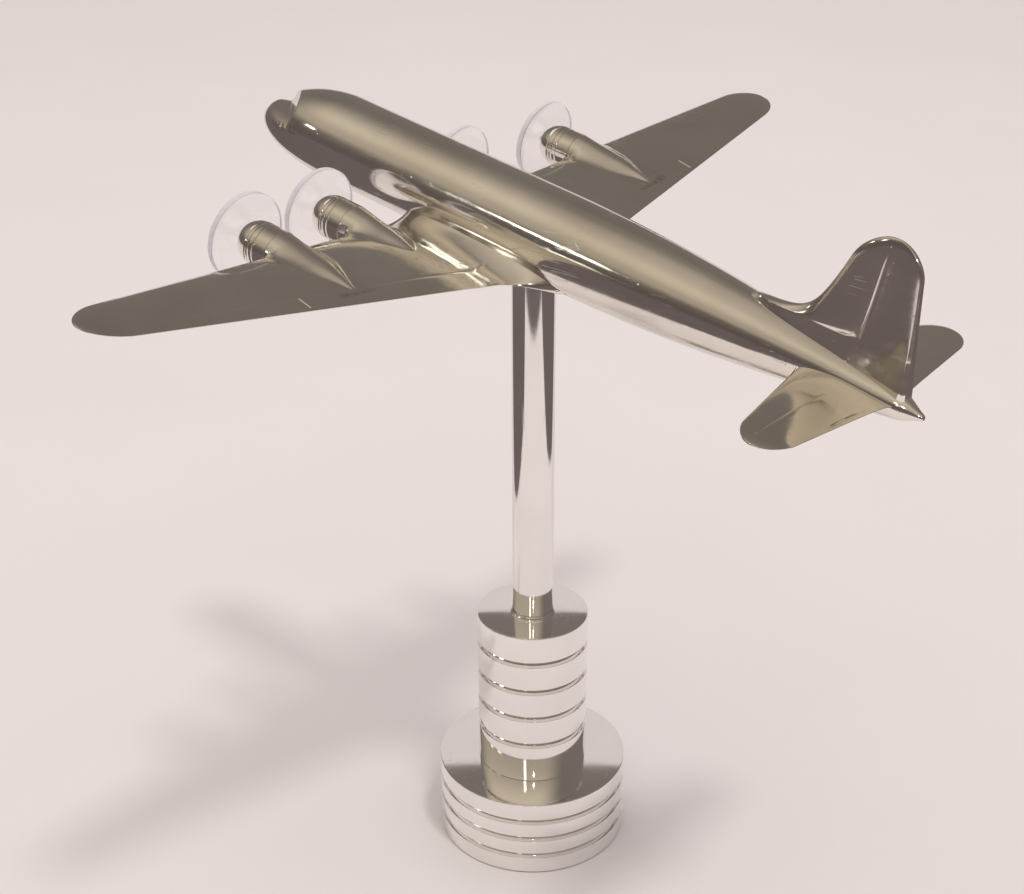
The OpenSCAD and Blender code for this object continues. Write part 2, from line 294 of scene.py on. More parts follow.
def cast_aluminium():
    """Hand-polished casting: mirror bright, with a faint haze, waviness, scratches and pits."""
    n = Nodes("cast_aluminium")
    cloud = n.noise(26, 4.0)
    tint = n.ramp(cloud, (0.3, (0.80, 0.765, 0.70)), (0.7, (0.90, 0.87, 0.815)))
    haze = n.noise(60, 5.0, n.stretched((0.35, 1.6, 1.6)), 0.6)
    wipes = n.noise(420, 3.0, n.stretched((0.06, 1.0, 1.0)))
    rough = n.math("ADD", n.spread(haze, 0.35, 0.7, 0.06, 0.13),
                   n.spread(wipes, 0.4, 0.7, 0, 0.05))
    marks = scratches(n, 900, (0.05, 1.0, 1.0), 0.62)
    cross = scratches(n, 700, (1.0, 0.07, 0.5), 0.66)
    pits = n.add("ShaderNodeTexVoronoi", {"Vector": n.place, "Scale": 240}).outputs["Distance"]
    pit = n.spread(pits, 0.05, 0.12, 1, 0)
    rough = n.math("ADD", rough, n.math("MULTIPLY", marks, 0.12))
    height = n.math("ADD", n.math("ADD", marks, cross), n.math("MULTIPLY", pit, 1.2))
    wave = n.bump(n.noise(55, 2.0), 0.25, 0.0006)
    fine = n.bump(n.math("SUBTRACT", 0.0, height), 0.35, 0.00006, wave)
    return n.finish(Base_Color=tint, Metallic=1.0, Roughness=rough, Normal=fine)


def turned_aluminium():
    """Lathe-turned and polished bar: brighter, with faint rings left by the tool."""
    n = Nodes("turned_aluminium")
    parts = n.add("ShaderNodeSeparateXYZ", {"Vector": n.place})
    x, y, z = (parts.outputs[i] for i in range(3))
    radius = n.math("SQRT", n.math("ADD", n.math("MULTIPLY", x, x), n.math("MULTIPLY", y, y)))
    line = n.math("ADD", n.math("MULTIPLY", radius, 1.37), z)
    rings = n.add("ShaderNodeTexNoise", {"W": n.math("MULTIPLY", line, 1000.0), "Scale": 3.2,
                                         "Detail": 4.0, "Roughness": 0.65}, noise_dimensions="1D")
    cloud = n.noise(30, 4.0)
    tint = n.ramp(cloud, (0.3, (0.885, 0.868, 0.845)), (0.7, (0.945, 0.93, 0.91)))
    rough = n.math("ADD", n.spread(cloud, 0.3, 0.7, 0.035, 0.075),
                   n.spread(rings.outputs["Fac"], 0.45, 0.75, 0, 0.05))
    marks = scratches(n, 800, (1.0, 0.6, 0.06), 0.65)
    height = n.math("SUBTRACT", n.math("MULTIPLY", rings.outputs["Fac"], 0.35), marks)
    rough = n.math("ADD", rough, n.math("MULTIPLY", marks, 0.1))
    return n.finish(Base_Color=tint, Metallic=1.0, Roughness=rough,
                    Normal=n.bump(height, 0.3, 0.00002))


def plain_steel():
    n = Nodes("plain_steel")
    cloud = n.noise(90, 5.0)
    tint = n.ramp(cloud, (0.3, (0.50, 0.50, 0.49)), (0.7, (0.66, 0.65, 0.63)))
    rough = n.spread(n.noise(300, 3.0, n.stretched((1, 1, 0.08))), 0.3, 0.7, 0.22, 0.42)
    return n.finish(Base_Color=tint, Metallic=1.0, Roughness=rough,
                    Normal=n.bump(cloud, 0.2, 0.00005))


def clear_acrylic():
    """Clear cast sheet with a faint cool tint, and hairline wiping marks."""
    n = Nodes("clear_acrylic")
    wipes = n.noise(500, 3.0, n.stretched((1.0, 1.0, 0.08)))
    rough = n.spread(wipes, 0.5, 0.8, 0.0, 0.08)
    marks = scratches(n, 700, (1.0, 0.08, 1.0), 0.66)
    return n.finish(Base_Color=(0.985, 0.99, 0.995, 1), Transmission_Weight=1.0, IOR=1.49,
                    Roughness=rough, Normal=n.bump(marks, 0.15, 0.00002))


def frosted_rim_painted_glow():
    """Sawn and lightly sanded edge of the clear sheet, with a painted glow: it emits a faint light
    of its own in place of the light its faces would carry to it.
    """
    n = Nodes("frosted_rim_painted_glow")
    grain = n.noise(900, 4.0, n.stretched((0.25, 1.0, 1.0)))
    tint = n.ramp(grain, (0.3, (0.52, 0.49, 0.52)), (0.7, (0.66, 0.63, 0.66)))
    return n.finish(Base_Color=tint, Transmission_Weight=0.35, IOR=1.49,
                    Roughness=n.spread(grain, 0.3, 0.7, 0.35, 0.6),
                    # painted glow: the rim emits light though it is no lamp
                    Emission_Color=(0.80, 0.73, 0.77, 1), Emission_Strength=0.26,
                    Normal=n.bump(grain, 0.3, 0.00005))


def dark_felt():
    n = Nodes("dark_felt")
    fibres = n.noise(900, 6.0, n.stretched((1.0, 1.0, 0.3)), 0.7)
    tint = n.ramp(fibres, (0.3, (0.012, 0.035, 0.022)), (0.7, (0.035, 0.085, 0.055)))
    return n.finish(Base_Color=tint, Roughness=n.spread(fibres, 0.3, 0.7, 0.85, 1.0),
                    Sheen_Weight=0.5, Sheen_Roughness=0.5,
                    Normal=n.bump(fibres, 0.8, 0.0004))


CAST = cast_aluminium()
TURNED = turned_aluminium()
STEEL = plain_steel()
ACRYLIC = clear_acrylic()
RIM_PAINTED_GLOW = frosted_rim_painted_glow()
FELT = dark_felt()

for inner_node in ("tie_rod", "tie_washer", "tie_nut", "spigot", "wing_dowel_front",
                   "wing_dowel_rear", "fin_dowel", "tailplane_dowel"):
    slots = frame["nodes"][inner_node].data.materials
    slots.clear()
    slots.append(STEEL)

# ---- stand ----

GROOVE_H = 2.8
GROOVE_DEEP = 2.2
BASE_GROOVES = (8.6, 9.9, 3)        # top groove's depth below the top, pitch, how many
DRUM_GROOVES = (13.1, 15.1, 4)
EDGE = 0.45                         # easing of the outer edges
GROOVE_EDGE = 0.18                  # easing at the mouth of a groove
GROOVE_FLOOR = 0.35                 # easing at the bottom of a groove
POCKET_R = 12.0                     # the nut's pocket, under the base
POCKET_TOP = WASHER_TOP


def grooved_side(r, bottom, top, first, pitch, count):
    """Corners up the outside of a turned block, whose top groove starts first below its top."""
    corners = [(r, bottom, EDGE)]
    for i in reversed(range(count)):
        upper = top - first - i * pitch
        lower = upper - GROOVE_H
        corners += [(r, lower, GROOVE_EDGE), (r - GROOVE_DEEP, lower, GROOVE_FLOOR),
                    (r - GROOVE_DEEP, upper, GROOVE_FLOOR), (r, upper, GROOVE_EDGE)]
    return corners + [(r, top, EDGE)]


def show_turned(name, corners, material, slot, node, segments=224):
    """A turned piece of the stand."""
    show(turned(name, corners, material, segments=segments), "stand", slot, node)


def make_stand():
    lip = FELT_R + 0.2
    base = ([(ROD_HOLE_R, POCKET_TOP, 0), (POCKET_R, POCKET_TOP, 0), (POCKET_R, FELT_T, 0),
             (lip, FELT_T, 0), (lip, BASE_LOW, 0)]
            + grooved_side(BASE_R, BASE_LOW, BASE_TOP, *BASE_GROOVES)
            + [(ROD_HOLE_R, BASE_TOP, 0)])
    show_turned("base", base, TURNED, "turned_aluminium", "base_disc", 288)
    drum = ([(ROD_HOLE_R, BASE_TOP, 0)]
            + grooved_side(DRUM_R, BASE_TOP, DRUM_TOP, *DRUM_GROOVES)
            + [(ROD_HOLE_R, DRUM_TOP, 0)])
    show_turned("drum_turned", drum, TURNED, "turned_aluminium", "drum", 256)
    inner = COLUMN_R + 0.1
    collar = [(inner, DRUM_TOP, 0), (COLLAR_R, DRUM_TOP, 0), (COLLAR_R, COLLAR_TOP, 0.6),
              (inner, COLLAR_TOP, 0.2)]
    show_turned("collar", collar, TURNED, "turned_aluminium", "collar_ring")
    column = [(0, ROD_TOP, 0), (ROD_HOLE_R, ROD_TOP, 0), (ROD_HOLE_R, DRUM_TOP, 0),
              (COLUMN_R, DRUM_TOP, 0.2), (COLUMN_R, COLUMN_TOP, 0.3), (SPIGOT_R, COLUMN_TOP, 0),
              (SPIGOT_R, SPIGOT_LOW, 0), (0, SPIGOT_LOW, 0)]
    show_turned("column_bar", column, TURNED, "turned_aluminium", "column")
    felt = [(0, 0, 0), (FELT_R, 0, 0.5), (FELT_R, FELT_T, 0), (0, FELT_T, 0)]
    show_turned("felt", felt, FELT, "felt", "felt_pad")


# ---- fuselage ----

BODY_R = 19.8
NOSE_X = 167.5
TAIL_X = 190.0                      # how far the tail reaches back
BODY_FRONT = 113.0                  # where the nose starts to round in
BODY_REAR = -8.0                    # where the tail starts to taper
NOSE_DROP = 5.2                     # how far the axis falls at the nose
TAIL_DROP = 3.0                     # and at the tail
TAIL_BLUNT = 1.9                    # extra radius just ahead of the tail's end
TAIL_ROUND = 0.9                    # length of the rounded end
END_RINGS = 8
NOSE_CROWN = 7.8                    # height of the low crown ahead of the windscreen
BROW_ROUND = 1.3                    # how softly the panes run into the crown above
CROWN_ROUND = 1.2                   # and the low crown into the nose
PANE = (0.634, 0.665, 0.396)        # outward normal of the port pane of the windscreen
PANE_FOOT = (152.5, 0.0, 4.0)       # where the two panes meet, at the foot
SIDE_FLAT = 0.02                    # depth of the filed side marks, as a share of the radius


def nose_part(x):
    return np.clip((x - BODY_FRONT) / (NOSE_X - BODY_FRONT), 0, 1)


def body_radius(x):
    nose = (1 - nose_part(x) ** 2) ** 0.6
    tail = 1 - 0.94 * np.clip((BODY_REAR - x) / (TAIL_X + BODY_REAR), 0, 1) ** 2.2
    full = TAIL_BLUNT * smooth(150, 176, -x) * (1 - smooth(180, 190, -x))
    return BODY_R * nose * tail + full


def body_drop(x):
    tail = np.clip((-100 - x) / (TAIL_X - 100), 0, 1)
    return -NOSE_DROP * nose_part(x) ** 2 - TAIL_DROP * tail ** 2


def soft_min(a, b, k):
    """The smaller of two, blended where they differ by less than k."""
    h = np.clip(k - np.abs(a - b), 0, None) / k
    return np.minimum(a, b) - h * h * k / 4


def body_surface(x, angle):
    """Point on the fuselage at a station, angle 0 to port and 90 degrees at the crown."""
    r = body_radius(x)
    y = r * np.cos(angle)
    rise = np.maximum(np.sin(angle), 1e-6)
    low_crown = soft_min(r, np.full_like(r, NOSE_CROWN), CROWN_ROUND)
    pane_z = PANE_FOOT[2] - (PANE[0] * (x - PANE_FOOT[0]) + PANE[1] * np.abs(y)) / PANE[2]
    crown = soft_min(r, np.maximum((pane_z - body_drop(x)) / rise, low_crown), BROW_ROUND)
    side = side_window(x, angle)
    up = np.where(np.sin(angle) > 0, crown, r)
    return np.stack([x, y * (1 - side), body_drop(x) + up * np.sin(angle) * (1 - side)], -1)


def side_window(x, angle):
    """Small filed flats along the side, behind the windscreen, as a share of the radius."""
    lift = np.minimum(angle, math.pi - angle)
    along = smooth(127, 130, x) * (1 - smooth(143.5, 145.5, x))
    across = smooth(0.06, 0.14, lift) * (1 - smooth(0.36, 0.44, lift))
    facet = 0.5 + 0.3 * np.cos(1.5 * (x - 128)) + 0.2 * np.cos(2.3 * (x - 128) + 7 * lift)
    return SIDE_FLAT * along * across * facet


def make_fuselage():
    tail = -TAIL_X + TAIL_ROUND * (1 - np.cos(np.linspace(0, math.pi / 2, END_RINGS)))
    main = np.arange(-TAIL_X + 2, 124, 2.0)
    cockpit = np.arange(124.0, 156, 0.3)
    nose = NOSE_X - (NOSE_X - 156) * (1 - np.linspace(0, 1, 40)) ** 2
    stations = np.concatenate([tail, main, cockpit, nose[:-1]])
    angles = np.linspace(0, 2 * math.pi, 240, endpoint=False)
    x, a = np.meshgrid(stations, angles, indexing="ij")
    rings = body_surface(x, a)
    end = np.sqrt(1 - (1 - np.linspace(0.02, 1, END_RINGS)) ** 2)[:, None]
    rings[:END_RINGS, :, 1] *= end
    rings[:END_RINGS, :, 2] = (rings[:END_RINGS, :, 2] + TAIL_DROP) * end - TAIL_DROP
    body = skin("fuselage_shell", to_world(rings), CAST, crease=28)
    return show(body, "aircraft", "cast_aluminium", "fuselage")


# ---- wings ----

WING_ROOT_Y = 14.0                  # inner face, inside the fuselage
ROOT_REACH = 21.0                   # how far out the hollow of the root runs
WING_TIP_Y = HALF_SPAN - 15         # where the rounded tip starts
FLAP_END_Y = 119.0                  # the cut between flap and aileron
FLAP_CUT = 7.5                      # how far that cut runs back from the hinge line
SKIN = 0.12                         # half the thickness left at a sharp edge
LINE_HALF = 0.36                    # half the width of an engraved line
LINE_DEEP = 0.34
FINE_HALF = 0.24                    # the finer line of the rudder
FINE_DEEP = 0.22
LINE_STEPS = (-0.6, -0.25, 0.0, 0.25, 0.6)      # columns across a line, in half widths


def streamline(c):
    c = np.clip(c, 0, 1)
    return 5 * (0.2969 * np.sqrt(c) - 0.126 * c - 0.3516 * c ** 2 + 0.2843 * c ** 3
                - 0.1036 * c ** 4)


def root_blend(y):
    """1 inside the fuselage, then a hollow that runs out into the wing."""
    return np.clip(1 - (y - WING_ROOT_Y) / ROOT_REACH, 0, 1) ** 2.6


def tip_places(start, end, first=0.05):
    """Places along a rounded tip, closer together towards its end."""
    return start + (end - start) * np.sin(np.linspace(first, 1, 26) * math.pi / 2)


def tip_round(y, start, end):
    """Share of the full chord and thickness that a rounded tip keeps."""
    t = np.clip((y - start) / (end - start), 0, 1)
    return np.sqrt(np.maximum(1 - t ** 2, 0.0004))


def wing_front(y):
    return 60.3 - 0.091 * y + 1.5 * root_blend(y)


def wing_back(y):
    return -13.8 + 0.154 * y - 19 * root_blend(y)


def wing_mid(y):
    return -17.6 + 0.113 * y + 1.6 * root_blend(y)


def wing_half(c, y, rise=10.8):
    """Half thickness at a share of the chord; rise is how far the root swells at its middle."""
    chord = wing_front(y) - wing_back(y)
    blend = root_blend(y)
    saddle = rise * np.sqrt(np.maximum(0, 1 - np.abs(2 * c - 1) ** 4))
    return (1 - blend) * 0.125 * chord * streamline(c) + blend * saddle


def wing_under(c, y):
    """Depth of the flatter underside, whose root hardly swells."""
    return 0.8 * wing_half(c, y, 2.5) + SKIN


def hinge_x(y):
    """The hinge line of flap and aileron."""
    return 0.6 + 0.125 * y - 0.0001 * y * y


def chord_columns(hinge, half, front_count, back_count):
    """Shares of the chord at which a surface has points: up to its line, across it, beyond.
    Also how deep the line is cut at each of them, from 0 to 1."""
    before = 1 - np.cos(np.linspace(0, 1, front_count) * math.pi / 2)
    behind = np.linspace(0, 1, back_count) ** 0.65
    across = np.array(LINE_STEPS)
    chord = np.concatenate([before * (hinge - half), hinge + across * half,
                            hinge + half + behind * (1 - hinge - half)])
    groove = np.zeros_like(chord)
    groove[front_count:front_count + len(across)] = 1 - (across / LINE_STEPS[-1]) ** 2 * 0.9
    return chord, groove


def level_ring(x, y, top, bottom):
    """A ring round a level surface at one span: back along the underside, forward on top."""
    upper = np.stack([x, np.full_like(x, y), top], -1)
    lower = np.stack([x, np.full_like(x, y), bottom], -1)
    return np.concatenate([lower, upper[::-1]])


def wing_rings(side):
    spans = np.concatenate([
        np.linspace(WING_ROOT_Y, 40, 53), np.linspace(41, 117, 58),
        FLAP_END_Y + LINE_HALF * np.array([-3, -1.6, -1, *LINE_STEPS, 1, 1.6, 3]),
        np.linspace(121, WING_TIP_Y, 50), tip_places(WING_TIP_Y, HALF_SPAN, 0.06)])
    rings = []
    for y in spans:
        front, back, mid = wing_front(y), wing_back(y), wing_mid(y)
        k = tip_round(y, WING_TIP_Y, HALF_SPAN)
        middle, half = (front + back) / 2, k * (front - back) / 2
        hinge = np.clip((middle + half - hinge_x(y)) / (2 * half), 0.3, 0.93)
        chord, groove = chord_columns(hinge, LINE_HALF / (2 * half), 60, 26)
        groove = groove * float(smooth(24, 26, y) * (1 - smooth(186, 188, y)))
        tick = math.exp(-((y - FLAP_END_Y) / (0.55 * LINE_HALF)) ** 2)
        behind = (chord > hinge) & (chord < hinge + FLAP_CUT / (2 * half))
        cut = LINE_DEEP * np.maximum(groove, tick * behind)
        x = middle + half - 2 * half * chord
        top = mid + k * wing_half(chord, y) + SKIN - cut
        bottom = mid - k * wing_under(chord, y)
        rings.append(level_ring(x, side * y, top, bottom))
    return np.array(rings)


def make_wings():
    for side, name in ((1, "left"), (-1, "right")):
        wing = skin(f"wing_{name}_panel", to_world(wing_rings(side)), CAST, crease=40)
        show(wing, "aircraft", "cast_aluminium", f"wing_{name}")


# ---- nacelles, cowls, propeller discs and hub pins ----

COWL_LEN = 20.0
COWL_FACE_R = 5.0                   # flat front of the cowl
COWL_DOME = 8.2                     # length of its rounded front
COWL_GROOVES = ((11.2, 0.8, 0.8), (9.4, 0.8, 0.8), (6.8, 0.5, 0.4))   # place, half width, depth
DISC_T = 3.0
DISC_GAP = 0.1                      # air on each side of a disc
PIN_DEEP = 32.0                     # from the disc's front face to the pin's inner end
PIN_R = 1.5
HEAD_R = 2.1
HEAD_RIM = 0.8
HEAD_CROWN = 2.6
NACELLE_LEN = {"inner": 43.2, "outer": 46.2}
NACELLE_REACH = 15.0                # how far the fillet may reach to each side
NACELLE_STEP = 0.5
NACELLE_RAYS = 1440                 # directions in which each section is searched
HALVINGS = 34                       # steps of that search
FILLET = 5.0
PLUG_SHARE = 0.97                   # width of the nacelle's short plug inside the cowl
PLUG_LEN = 0.4


def engine_place(side_name, which):
    """Front face of an engine's disc in the aircraft's axes, from its joint."""
    return to_aircraft(JOINTS[f"disc_{side_name}_{which}_spin"]["pos_m"])


def wing_distance(x, y, z):
    """About how far a point is outside the wing, in mm, for points near it."""
    front, back, mid = wing_front(y), wing_back(y), wing_mid(y)
    chord = (front - x) / (front - back)
    over = z - (mid + wing_half(chord, y) + SKIN)
    under = mid - wing_under(chord, y) - z
    beside = np.maximum(over, under)
    ahead = np.hypot(np.maximum(x - front, 0), z - mid)
    return np.where(x > front, np.maximum(ahead, 0.02), beside)


def nacelle_radius(x, front, length):
    """Radius of the nacelle by itself, from its rear point to the cowl."""
    s = np.clip((x - front + length) / length, 0, 1)
    return COWL_R * s ** 0.62


def nacelle_rings(place, side, length):
    """Sections of a nacelle from its rear point to the cowl, with a fillet along the wing."""
    front = place[0] - DISC_T - COWL_LEN
    side_y = abs(place[1])
    rings = []
    angles = np.linspace(0, 2 * math.pi, NACELLE_RAYS, endpoint=False)
    across, up = np.sin(angles), np.cos(angles)
    limit = np.minimum(NACELLE_REACH / np.maximum(np.abs(across), 1e-4), 40.0)
    for x in np.arange(front - length, front + 0.01, NACELLE_STEP):
        fade = float(smooth(0, 7, front - x) * smooth(5, 24, x - front + length))
        fillet = 0.01 + FILLET * fade
        radius = float(nacelle_radius(x, front, length))
        near, far = np.zeros(NACELLE_RAYS), limit.copy()
        for _ in range(HALVINGS):
            r = (near + far) / 2
            y, z = side_y + side * r * across, place[2] + r * up
            own = r - radius
            wing = wing_distance(np.full(NACELLE_RAYS, x), y, z)
            sink = 0.15 * smooth(0.62, 1.0, np.abs(r * across) / NACELLE_REACH)
            inside = soft_min(own, wing, fillet) + sink < 0
            near, far = np.where(inside, r, near), np.where(inside, far, r)
        y, z = side * side_y + r * across, place[2] + r * up
        rings.append(even(np.stack([np.full(NACELLE_RAYS, x), y, z], -1)))
    middle = np.array([front, side * side_y, place[2]])
    plug = (rings[-1] - middle) * PLUG_SHARE + middle + (PLUG_LEN, 0, 0)
    return np.array(rings + [plug])


def even(loop, half_points=84):
    """The loop again with its points evenly spaced, each half from top to bottom by itself."""
    out = []
    n = len(loop)
    closed = np.vstack([loop, loop[:1]])
    for first, last in ((0, n // 2), (n // 2, n)):
        part = closed[first:last + 1]
        run = np.concatenate([[0], np.cumsum(np.linalg.norm(np.diff(part, axis=0), axis=1))])
        marks = np.linspace(0, run[-1], half_points, endpoint=False)
        out.append(np.stack([np.interp(marks, run, part[:, k]) for k in range(3)], -1))
    return np.concatenate(out)


def cowl_profile():
    """Rounded front with a flat face, a double groove with a bead, and a finer groove behind."""
    back = COWL_LEN - COWL_DOME
    s = np.concatenate([[0.0], np.arange(0.4, back, 0.1)])
    r = np.full_like(s, COWL_R)
    for at, half, deep in COWL_GROOVES:
        r -= deep * np.sqrt(np.clip(1 - ((s - at) / half) ** 2, 0, 1))
    turn = np.linspace(0, math.pi / 2, 28)
    front = [(COWL_FACE_R + (COWL_R - COWL_FACE_R) * max(0.0, math.cos(t)) ** 1.6,
              back + COWL_DOME * math.sin(t)) for t in turn]
    return [(0.0, 0.0)] + list(zip(r, s)) + front + [(0.0, COWL_LEN)]


def along_x(place, back):
    """Carries a turned profile to the engine's axis, with its zero at a distance of back behind
    the disc's front face."""
    def carry(verts):
        v = np.asarray(verts, float)
        own = np.stack([place[0] - back + v[:, 2], place[1] + v[:, 1], place[2] - v[:, 0]], -1)
        return to_world(own)
    return carry


def make_engine(side_name, which):
    side = 1 if side_name == "left" else -1
    place = engine_place(side_name, which)
    tag = f"{side_name}_{which}"
    nacelle = skin(f"nacelle_{tag}_fairing",
                   to_world(nacelle_rings(place, side, NACELLE_LEN[which])), CAST, crease=50)
    show(nacelle, "aircraft", "cast_aluminium", f"nacelle_{tag}")
    verts, faces = lathe(cowl_profile(), 128)
    cowl = make_object(f"cowl_{tag}_turned", along_x(place, DISC_T + COWL_LEN)(verts), faces,
                       CAST, 50)
    show(cowl, "aircraft", "cast_aluminium", f"cowl_{tag}")
    bore, ahead = PIN_R + 0.05, DISC_T - DISC_GAP
    disc = [(bore, DISC_GAP, 0.15), (DISC_R, DISC_GAP, 0.3), (DISC_R, ahead, 0.3),
            (bore, ahead, 0.15)]
    sheet = turned(f"disc_{tag}_sheet", disc, ACRYLIC, along_x(place, DISC_T), 192, 3, 50)
    # the outer edge faces take the sanded rim material, which has a painted glow
    sheet.data.materials.append(RIM_PAINTED_GLOW)
    for face in sheet.data.polygons:
        own = to_aircraft(face.center) - place
        face.material_index = int(math.hypot(own[1], own[2]) > DISC_R - 0.2)
    show(sheet, f"disc_{tag}", "clear_acrylic", f"prop_disc_{tag}")
    dome = [(HEAD_R * math.cos(t), PIN_DEEP + HEAD_RIM + (HEAD_CROWN - HEAD_RIM) * math.sin(t), 0)
            for t in np.linspace(0, math.pi / 2 - 0.05, 12)]
    pin = ([(0, 0.2, 0), (PIN_R, 0.2, 0.3), (PIN_R, PIN_DEEP, 0), (HEAD_R, PIN_DEEP, 0.15)]
           + dome + [(0, PIN_DEEP + HEAD_CROWN, 0)])
    head = turned(f"hub_pin_{tag}_domed", pin, CAST, along_x(place, PIN_DEEP), 64, 3, 50)
    show(head, "aircraft", "steel", f"hub_pin_{tag}")


# ---- tail ----

FIN_TOP = 58.0
FIN_ROUND_Z = FIN_TOP - 12          # where the rounded top starts
FIN_LINE_TOP = (-161.8, 55.4)       # ends of the rudder's line, x and z
FIN_LINE_FOOT = (-158.4, 9.0)
TAIL_Z = -1.1
TAIL_TIP_Y = TAIL_HALF_SPAN - 12    # where the rounded tip starts
TAIL_HINGE_X = -159.0


def fin_front(z):
    """Sloping front edge that sweeps forward into a long fillet at the foot."""
    slope = -146.3 - 0.333 * (z - 40)
    return np.where(z < 16, slope + 26.7, slope + 40 / np.maximum(1.5, z - 14.5))


def fin_back(z):
    return -176.3 - 0.13 * (FIN_ROUND_Z - z)


def fin_half(z):
    return 2.9 - 0.022 * np.maximum(0, z - 10) + 0.9 * np.exp(-np.maximum(0, z - 3) / 8)


def fin_rings():
    heights = np.concatenate([np.linspace(1.5, 18, 42), np.linspace(18.5, FIN_ROUND_Z, 50),
                              tip_places(FIN_ROUND_Z, FIN_TOP)])
    rings = []
    for z in heights:
        front, back = float(fin_front(z)), float(fin_back(z))
        k = float(tip_round(z, FIN_ROUND_Z, FIN_TOP))
        middle, half = (front + back) / 2, k * (front - back) / 2
        part = (z - FIN_LINE_FOOT[1]) / (FIN_LINE_TOP[1] - FIN_LINE_FOOT[1])
        line_x = FIN_LINE_FOOT[0] + part * (FIN_LINE_TOP[0] - FIN_LINE_FOOT[0])
        hinge = float(np.clip((middle + half - line_x) / (2 * half), 0.25, 0.75))
        chord, groove = chord_columns(hinge, FINE_HALF / (2 * half), 44, 34)
        groove = groove * float(smooth(11, 13, z) * (1 - smooth(54, 55.5, z)))
        x = middle + half - 2 * half * chord
        blunt = (0.75 + 2.7 * math.exp(-max(0, z - 4) / 20)) * smooth(0.55, 1.0, chord)
        blunt = blunt * (1 - 0.3 * smooth(0.975, 1.0, chord) ** 2)
        thick = k * (float(fin_half(z)) * streamline(chord) * 2 + blunt) + SKIN
        thick = np.maximum(thick - FINE_DEEP * groove, 0.05)
        lean = 0.14 * max(0, 1 - (z - 4) / 12)
        level = z + lean * (x + 180)
        port = np.stack([x, thick, level], -1)
        starboard = np.stack([x, -thick, level], -1)
        rings.append(np.concatenate([port, starboard[::-1]]))
    return np.array(rings)


def tail_blend(y):
    """1 at the fuselage, fading outwards over the fillet."""
    return np.exp(-np.maximum(0, y - 4) / 4)


def tail_rings(side):
    spans = np.concatenate([np.linspace(3, 20, 36), np.linspace(20.5, TAIL_TIP_Y, 60),
                            tip_places(TAIL_TIP_Y, TAIL_HALF_SPAN)])
    rings = []
    for y in spans:
        blend = float(tail_blend(y))
        front, back = -138.5 - 0.2 * y + 3 * blend, -178 + 0.105 * y - 2 * blend
        k = float(tip_round(y, TAIL_TIP_Y, TAIL_HALF_SPAN))
        middle, half = (front + back) / 2, k * (front - back) / 2
        hinge = float(np.clip((middle + half - TAIL_HINGE_X) / (2 * half), 0.25, 0.75))
        chord, groove = chord_columns(hinge, LINE_HALF / (2 * half), 44, 34)
        groove = groove * float(smooth(19, 21, y) * (1 - smooth(62, 64, y)))
        x = middle + half - 2 * half * chord
        tab = np.exp(-((x + 174.9 - 0.07 * y) / 0.4) ** 2)
        groove = groove + tab * float(smooth(15, 16, y) * (1 - smooth(36, 37, y)))
        thick = k * (2.1 - 0.012 * y + 1.8 * blend)
        top = TAIL_Z + 2 * thick * streamline(chord) + SKIN - LINE_DEEP * groove
        bottom = TAIL_Z - 2 * thick * streamline(chord) - SKIN
        rings.append(level_ring(x, side * y, top, bottom))
    return np.array(rings)


def make_tail():
    fin = skin("fin_and_rudder", to_world(fin_rings()), CAST, crease=40)
    show(fin, "aircraft", "cast_aluminium", "fin")
    for side, name in ((1, "left"), (-1, "right")):
        plane = skin(f"tailplane_{name}_panel", to_world(tail_rings(side)), CAST, crease=40)
        show(plane, "aircraft", "cast_aluminium", f"tailplane_{name}")


make_stand()
make_fuselage()
make_wings()
for side_name in ("left", "right"):
    for which in ("outer", "inner"):
        make_engine(side_name, which)
make_tail()

# ---- camera ----

CAMERA_AWAY = 0.6814                # level distance from the column's axis
CAMERA_HEIGHT = 0.5400
CAMERA_HEADING = 2.423              # turn of the model's nose from the picture's right
CAMERA_PITCH = 0.481                # looking down
CAMERA_YAW = -0.014
CAMERA_ROLL = -0.003
FOCAL_WIDTHS = 1.660                # focal length in picture widths
SENSOR = 36.0
SHIFT_UP = 0.040


def make_camera():
    camera = bpy.data.objects.new("camera", bpy.data.cameras.new("camera"))
    bpy.context.scene.collection.objects.link(camera)
    ahead = Vector((math.sin(CAMERA_YAW) * math.cos(CAMERA_PITCH),
                    math.cos(CAMERA_YAW) * math.cos(CAMERA_PITCH), -math.sin(CAMERA_PITCH)))
    across = Vector((math.cos(CAMERA_YAW), -math.sin(CAMERA_YAW), 0))
    up = across.cross(ahead)
    right = math.cos(CAMERA_ROLL) * across + math.sin(CAMERA_ROLL) * up
    top = math.cos(CAMERA_ROLL) * up - math.sin(CAMERA_ROLL) * across
    turn = Matrix.Rotation(-CAMERA_HEADING, 4, "Z")
    axes = Matrix((right, top, -ahead)).transposed().to_4x4()
    place = Matrix.Translation((0, -CAMERA_AWAY, CAMERA_HEIGHT))
    camera.matrix_world = turn @ place @ axes
    camera.data.sensor_width = SENSOR
    camera.data.lens = FOCAL_WIDTHS * SENSOR
    camera.data.shift_y = SHIFT_UP
    camera.data.clip_start = 0.01
    camera.data.clip_end = 50
    bpy.context.scene.camera = camera
    return camera


camera = make_camera()
LOOK = Vector((math.sin(CAMERA_HEADING), math.cos(CAMERA_HEADING), 0))   # level, into the picture
RIGHT = Vector((LOOK.y, -LOOK.x, 0))                                     # level, to its right


def studio(right, ahead, height):
    """A place given to the right of and beyond the column, and its height, in metres."""
    return RIGHT * right + LOOK * ahead + Vector((0, 0, height))


# ---- floor, reflector cards and light ----


def matt(name, colour, rough=0.9):
    n = Nodes(name)
    tone = n.noise(6, 2.0)
    deep = tuple(0.985 * c for c in colour)
    return n.finish(Base_Color=n.ramp(tone, (0.3, deep), (0.7, colour)), Roughness=rough,
                    Specular_IOR_Level=0.2)


